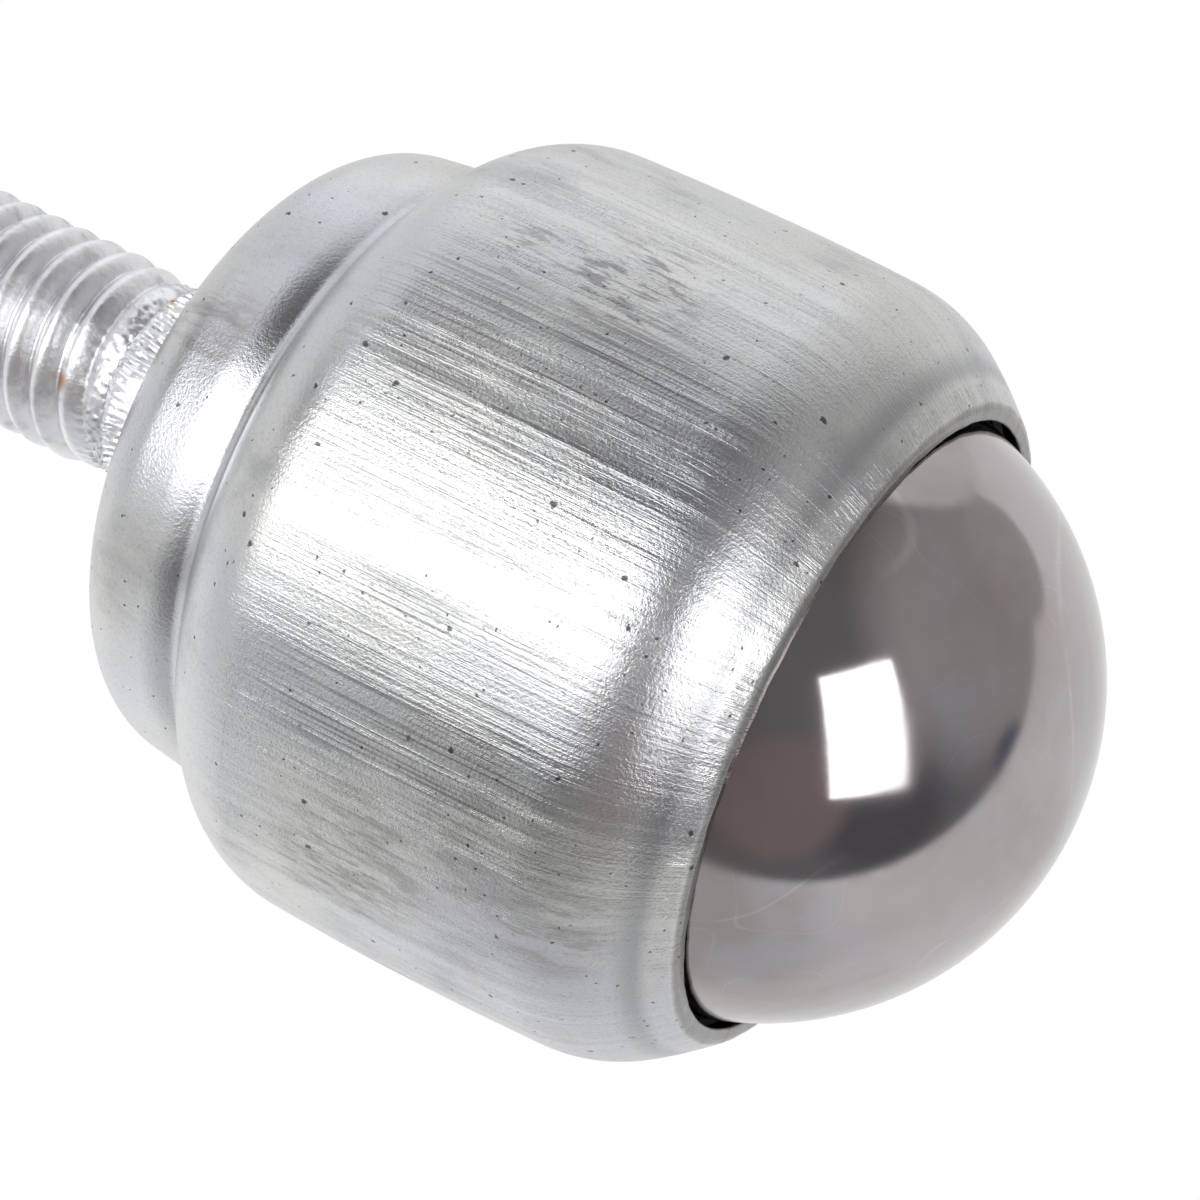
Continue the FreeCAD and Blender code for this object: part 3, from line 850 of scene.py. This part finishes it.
@dataclass
class Stud:
    """Stud with its head inside the shell, a serrated collar and a rolled right-hand thread."""

    material: bpy.types.Material
    length: float
    radius: float = 3.9
    pitch: float = 1.25
    depth: float = 0.5
    crest_power: float = 1.8
    first_depth: float = 0.2
    thread_start: float = 4.9
    runout: float = 3.0
    chamfer: float = 0.9
    collar_radius: float = 4.2
    collar_length: float = 4.7
    collar_bevel: float = 0.25
    teeth: int = 72
    tooth_depth: float = 0.17
    tooth_uneven: float = 0.6
    tooth_waves: tuple = (7, 11, 17)
    tooth_lean: float = 0.03
    tooth_from: float = 0.3
    tooth_fade: float = 0.5
    burr: float = 0.16
    collar_burr: float = 1.3
    thread_burr: float = 0.5
    thread_burr_fade: float = 1.1
    flat_turn: float = -105.0
    flat_depth: float = 0.24
    flat_from: float = 2.2
    flat_fade: float = 0.3
    head_radius: float = 7.5
    head_height: float = 4.0
    head_bevel: float = 0.4
    wall: float = 0.9
    thread_columns: int = 160
    rows_per_turn: int = 18
    collar_columns: int = 540
    collar_rows: int = 46

    def _thread(self) -> np.ndarray:
        """Helical thread.

        The radius at angle t and height z is root + depth * (1 - s ^ crest_power), with s = |2 frac - 1|
        and frac the fraction of z / pitch - t / 2 pi: a rounded crest between leaning flanks. Its depth
        rises over the run-out and it is held under the end's chamfer. Beside the collar, chips of burr
        stand on it.

        Returns:
            Array (rows, columns, 3).
        """
        span = self.length - self.thread_start
        rows = int(span / self.pitch * self.rows_per_turn)
        height = np.linspace(self.thread_start, self.length, rows)[:, None]
        turn = (2.0 * np.pi * np.arange(self.thread_columns) / self.thread_columns)[None, :]
        phase = height / self.pitch - turn / (2.0 * np.pi)
        share = np.abs(2.0 * (phase - np.floor(phase)) - 1.0)
        rising = smooth_step((height - self.thread_start) / self.runout)
        deep = self.first_depth + (1.0 - self.first_depth) * rising
        root = self.radius - self.depth
        radius = root + self.depth * (1.0 - share ** self.crest_power) * deep
        burr_from = self.thread_start + self.thread_burr
        near = smooth_step(1.0 - (height - burr_from) / self.thread_burr_fade)
        radius = radius + self.burr * chips(turn, height, waves=24, seed=9) * near
        radius = np.minimum(radius, self.radius - self.chamfer + (self.length - height))
        return np.stack([radius * np.cos(turn), radius * np.sin(turn), height + 0.0 * turn], axis=2)

    def _collar_profile(self) -> np.ndarray:
        """Section of the head and the collar, before the teeth are cut.

        Returns:
            Array (points, 2) of radius and height, from the head's underside to the thread's root.
        """
        bottom, seat = -self.wall - self.head_height, -self.wall
        bevel, end = self.head_bevel, self.collar_length + self.collar_bevel
        head = [(bevel, bottom), (self.head_radius - bevel, bottom), (self.head_radius, bottom + bevel),
                (self.head_radius, seat - 0.3), (self.head_radius - 0.3, seat),
                (self.collar_radius + 0.2, seat)]
        heights = np.linspace(seat + 0.05, self.collar_length - self.collar_bevel, self.collar_rows)
        side = np.stack([np.full(self.collar_rows, self.collar_radius), heights], axis=1)
        top = [(self.collar_radius - self.collar_bevel, self.collar_length),
               (self.radius - self.depth, end), (bevel, end)]
        return np.concatenate([np.array(head), side, np.array(top)])

    def _collar(self) -> np.ndarray:
        """Head and serrated collar.

        Up to the seat the section is round. Above it the radius is lowered by tooth_depth times
        |cos(teeth * t / 2)|, so that narrow teeth stand between hollows, and by chips of burr at the
        top. At flat_turn a flat is pressed in: radius * cos(t - flat_turn) stays under its depth.

        Returns:
            Array (rows, columns, 3).
        """
        grid = turned(self._collar_profile(), self.collar_columns)
        turn = np.arctan2(grid[..., 1], grid[..., 0])
        height = grid[..., 2]
        cut = smooth_step((height - self.tooth_from) / self.tooth_fade)
        cut = cut * smooth_step((self.collar_length + 0.3 - height) / 0.2)
        uneven = 1.0 + self.tooth_uneven * ripples(turn * 2 + height, self.tooth_waves, seed=3)
        lean = self.tooth_lean * np.sin(height * 1.7 + 3.0 * turn)
        hollow = np.abs(np.cos(self.teeth * (turn + lean) / 2.0)) * self.tooth_depth * cut * uneven
        near = smooth_step(height - self.collar_length + self.collar_burr)
        chipped = 0.8 * self.burr * (1.0 - chips(turn, height, waves=30, seed=4)) * near * cut
        lowered = np.hypot(grid[..., 0], grid[..., 1]) - hollow - chipped
        facing = np.cos(turn - math.radians(self.flat_turn))
        flat = (self.collar_radius - self.flat_depth) / np.maximum(facing, 0.5)
        pressed = smooth_step((height - self.flat_from) / self.flat_fade) * (facing > 0.9)
        lowered = np.where(lowered > flat, lowered + (flat - lowered) * pressed, lowered)
        grid[..., 0] = lowered * np.cos(turn)
        grid[..., 1] = lowered * np.sin(turn)
        return grid

    def build(self) -> bpy.types.Object:
        """The piece."""
        mesh = grid_mesh("threaded_stud", [self._collar(), self._thread()], Ends.POLES)
        return add_piece(mesh, self.material, "housing", ("stud",))


@dataclass
class LoadBall:
    """The ball that rolls on the floor."""

    material: bpy.types.Material
    centre: float
    radius: float
    columns: int = 256
    rows: int = 127

    def _set_poles(self, mesh: bpy.types.Mesh) -> None:
        """Moves the two pole points, which are the mesh's last, out onto the sphere.

        Args:
            mesh: The ball's mesh.
        """
        count = len(mesh.vertices)
        mesh.vertices[count - 2].co = (0.0, 0.0, (self.centre - self.radius) * MM)
        mesh.vertices[count - 1].co = (0.0, 0.0, (self.centre + self.radius) * MM)
        mesh.update()

    def build(self) -> bpy.types.Object:
        """A sphere: radius * cos(latitude) from the axis at height radius * sin(latitude).

        Returns:
            The piece.
        """
        edge = math.pi / (self.rows + 1)
        latitude = np.linspace(-math.pi / 2 + edge, math.pi / 2 - edge, self.rows)
        profile = np.stack([self.radius * np.cos(latitude),
                            self.centre + self.radius * np.sin(latitude)], axis=1)
        mesh = grid_mesh("rolling_load_ball", [turned(profile, self.columns)], Ends.POLES)
        self._set_poles(mesh)
        return add_piece(mesh, self.material, "rolling_ball", ("load_ball",))


# Studio


@dataclass
class PhotoCamera:
    """Camera of the photograph, worked out from the ball and the castor's axis in the picture."""

    lens: float = 90.0
    sensor: float = 36.0
    picture: float = 1200.0
    ball_pixel: tuple = (761.6, 679.6)
    distance: float = 98.04
    slope: float = 26.1
    tilt: float = 21.75
    nearest: float = 0.005
    to_row: Matrix = field(init=False)

    def build(self, ball_centre: float) -> None:
        """Sets the scene's camera.

        The castor's axis, from the stud to the ball, runs down to the right at slope degrees in the
        picture and out of it at tilt degrees. The ball's pixel gives the sight line to it, and the
        row's Y axis is the sight line less its part along the castor's axis.

        Args:
            ball_centre: Height of the ball's centre in millimetres.
        """
        focal = self.lens / self.sensor * self.picture
        sight = Vector(((self.ball_pixel[0] - self.picture / 2) / focal,
                        (self.ball_pixel[1] - self.picture / 2) / focal, 1.0)).normalized()
        slope, tilt = math.radians(self.slope), math.radians(self.tilt)
        across = math.cos(tilt)
        row_z = -Vector((math.cos(slope) * across, math.sin(slope) * across, -math.sin(tilt)))
        row_y = (sight - row_z * sight.dot(row_z)).normalized()
        self.to_row = Matrix((row_y.cross(row_z), row_y, row_z))
        place = Vector((0.0, 0.0, ball_centre)) - self.to_row @ (sight * self.distance)
        turn = self.to_row @ Matrix.Diagonal((1.0, -1.0, -1.0))
        data = bpy.data.cameras.new("photo_camera")
        data.lens = self.lens
        data.sensor_width = self.sensor
        data.clip_start = self.nearest
        camera = new_object(data)
        camera.matrix_world = Matrix.Translation(place * MM) @ turn.to_4x4()
        bpy.context.scene.camera = camera

    def direction(self, right: float, down: float, forward: float) -> Vector:
        """Unit vector in the row frame of a direction to the camera's right, down and forward."""
        return (self.to_row @ Vector((right, down, forward))).normalized()


@dataclass(frozen=True)
class Lamp:
    """A rectangular softbox, placed by its direction from the ball in the camera's frame."""

    name: str
    direction: tuple
    long_side: tuple
    size: tuple
    radiance: float
    distance: float = 420.0

    def build(self, camera: PhotoCamera, ball_centre: float) -> None:
        """Sets the lamp facing the castor.

        Its power is radiance * pi * area.

        Args:
            camera: Camera whose frame gives the directions.
            ball_centre: Height of the ball's centre in millimetres.
        """
        data = bpy.data.lights.new(self.name, "AREA")
        data.shape = "RECTANGLE"
        data.size, data.size_y = self.size[0] * MM, self.size[1] * MM
        data.energy = self.radiance * math.pi * data.size * data.size_y
        lamp = new_object(data)
        back = camera.direction(*self.direction)
        side = camera.direction(*self.long_side)
        up = (side - back * side.dot(back)).normalized()
        turn = Matrix((up.cross(back), up, back)).transposed().to_4x4()
        place = (Vector((0.0, 0.0, ball_centre)) + back * self.distance) * MM
        lamp.matrix_world = Matrix.Translation(place) @ turn
        lamp.visible_camera = False


@dataclass(frozen=True)
class Zone:
    """A round part of the surround with a soft edge, by its direction in the camera's frame.

    Its share rises from 0 to 1 as the angle from its middle falls from outer to inner degrees.
    """

    direction: tuple
    inner: float
    outer: float
    colour: tuple


@dataclass
class Studio:
    """Pale floor, white surround and softboxes.

    The surround is seen in the metal only: zones outside the dark room that the ball mirrors, zones
    within it, and zones over both.
    """

    floor_height: float = -110.0
    floor_size: float = 1500.0
    floor_colour: tuple = (0.86, 0.86, 0.86, 1.0)
    floor_roughness: float = 0.9
    backdrop: tuple = (1.0, 1.0, 1.0, 1.0)
    surround: tuple = (0.89, 0.89, 0.89, 1.0)
    outside: tuple = (
        Zone((-0.7, 0.5, 0.5), 20.0, 50.0, (1.08, 1.08, 1.08, 1.0)),
        Zone((-0.35, 0.93, 0.0), 12.0, 45.0, (0.66, 0.66, 0.67, 1.0)),
    )
    room: Zone = Zone((0.179, -0.322, -0.93), 83.5, 87.0, (0.20, 0.20, 0.205, 1.0))
    within: tuple = (
        Zone((0.9, -0.25, -0.3), 22.0, 46.0, (0.46, 0.45, 0.45, 1.0)),
        Zone((0.56, 0.66, -0.5), 10.0, 24.0, (0.125, 0.125, 0.14, 1.0)),
        Zone((0.05, 0.61, -0.79), 16.0, 24.0, (0.28, 0.23, 0.22, 1.0)),
        Zone((0.96, 0.29, 0.0), 5.0, 9.0, (0.13, 0.14, 0.20, 1.0)),
    )
    over: tuple = (
        Zone((-0.35, -0.9, -0.25), 10.0, 31.0, (1.0, 1.0, 1.03, 1.0)),
        Zone((-0.95, 0.15, -0.25), 16.0, 40.0, (0.75, 0.75, 0.76, 1.0)),
        Zone((0.89, -0.43, 0.153), 13.0, 16.0, (0.50, 0.49, 0.48, 1.0)),
        Zone((0.3, -0.93, 0.2), 29.5, 33.0, (0.82, 0.82, 0.82, 1.0)),
        Zone((0.1, -0.93, 0.36), 12.0, 27.0, (1.15, 1.15, 1.18, 1.0)),
        Zone((-0.12, -0.76, -0.64), 7.0, 23.0, (0.04, 0.04, 0.045, 1.0)),
        Zone((-0.66, 0.62, -0.42), 5.0, 20.0, (0.15, 0.15, 0.16, 1.0)),
    )
    lamps: tuple = (
        Lamp("side_softbox", (0.50, 0.25, -0.83), (0.25, 0.97, 0.0), (190.0, 300.0), 3.2),
        Lamp("key_softbox", (-0.577, -0.193, -0.794), (0.82, 0.41, -0.4), (277.0, 400.0), 3.2),
    )

    @staticmethod
    def _lay_zones(tree: bpy.types.NodeTree, camera: PhotoCamera, zones: tuple, colour: object) -> Socket:
        """Lays zones over a colour, one after another.

        Args:
            tree: The world's nodes.
            camera: Camera whose frame gives the zones' directions.
            zones: The zones.
            colour: Colour or output round them.

        Returns:
            The blended colour.
        """
        point = tree.nodes["surround_point"].outputs["Generated"]
        for zone in zones:
            values = {0: point, 1: camera.direction(*zone.direction)}
            facing = add_node(tree, "VectorMath", values, operation="DOT_PRODUCT").outputs["Value"]
            low, high = math.cos(math.radians(zone.outer)), math.cos(math.radians(zone.inner))
            span = {"From Min": low, "From Max": high, "Value": facing}
            share = add_node(tree, "MapRange", span, interpolation_type="SMOOTHSTEP").outputs[0]
            blend = {0: share, 6: colour, 7: zone.colour}
            colour = add_node(tree, "Mix", blend, data_type="RGBA").outputs[2]
        return colour

    def _world(self, camera: PhotoCamera) -> None:
        """White for camera rays, and for the others a pale surround with darker zones.

        Args:
            camera: Camera whose frame gives the zones' directions.
        """
        world = bpy.data.worlds.new("white_surround")
        bpy.context.scene.world = world
        world.use_nodes = True
        tree = world.node_tree
        tree.nodes.new("ShaderNodeTexCoord").name = "surround_point"
        room = replace(self.room, colour=self._lay_zones(tree, camera, self.within, self.room.colour))
        colour = self._lay_zones(tree, camera, self.outside + (room,) + self.over, self.surround)
        path = add_node(tree, "LightPath", {})
        blend = {0: path.outputs["Is Camera Ray"], 6: colour, 7: self.backdrop}
        seen = add_node(tree, "Mix", blend, data_type="RGBA")
        tree.links.new(seen.outputs[2], tree.nodes["Background"].inputs["Color"])

    def _floor(self) -> None:
        """A level square, well below the ball, because the castor hangs from its stud."""
        half, height = self.floor_size / 2 * MM, self.floor_height * MM
        mesh = bpy.data.meshes.new("studio_floor")
        corners = [(x, y, height) for x, y in ((-half, -half), (half, -half), (half, half), (-half, half))]
        mesh.from_pydata(corners, [], [(0, 1, 2, 3)])
        floor = new_object(mesh)
        material = bpy.data.materials.new("pale_floor")
        material.use_nodes = True
        surface = material.node_tree.nodes["Principled BSDF"]
        surface.inputs["Base Color"].default_value = self.floor_colour
        surface.inputs["Roughness"].default_value = self.floor_roughness
        mesh.materials.append(material)
        floor.visible_glossy = False
        floor.visible_shadow = False

    def build(self, camera: PhotoCamera, ball_centre: float) -> None:
        """Builds the surround.

        Args:
            camera: The photograph's camera.
            ball_centre: Height of the ball's centre in millimetres.
        """
        bpy.context.scene.view_settings.view_transform = "Standard"
        self._world(camera)
        self._floor()
        for lamp in self.lamps:
            lamp.build(camera, ball_centre)


def node_span(node: str) -> tuple:
    """Lowest and highest corner of a CAD node, in millimetres."""
    low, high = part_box(node)
    return Vector(low) / MM, Vector(high) / MM


def dress_nodes(material: bpy.types.Material, names: list) -> None:
    """Gives CAD nodes that stay a finish.

    Args:
        material: The finish.
        names: Names of the nodes.
    """
    for name in names:
        node = bpy.data.objects[name]
        node.data.materials.clear()
        node.data.materials.append(material)


def main() -> None:
    """Builds the pieces, the camera and the studio."""
    logging.basicConfig(level=logging.INFO)
    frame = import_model()
    ball_low, ball_high = node_span("load_ball")
    centre, radius = (ball_low.z + ball_high.z) / 2, (ball_high.z - ball_low.z) / 2
    stud_top = node_span("stud")[1].z
    inside = PolishedSteel("hardened_steel", tint=(0.45, 0.44, 0.43, 1.0), worn=(0.3, 0.29, 0.28, 1.0),
                           smooth=0.2, rough=0.35)
    pieces = [
        Shell(PressedZinc().build(), centre, radius).build(),
        Stud(BrightZinc().build(), stud_top).build(),
        LoadBall(PolishedSteel().build(), centre, radius).build(),
    ]
    for piece in pieces:
        LOG.info("%s: %d faces", piece.name, len(piece.data.polygons))
    bearing_balls = [name for name in frame["nodes"] if name.startswith("bearing_ball")]
    dress_nodes(inside.build(), ["bearing_cup", "retaining_ring"] + bearing_balls)
    LOG.info("bearing_cup, retaining_ring and %d bearing balls keep their solids", len(bearing_balls))
    camera = PhotoCamera()
    camera.build(centre)
    Studio().build(camera, centre)


if __name__ == "__main__":
    main()
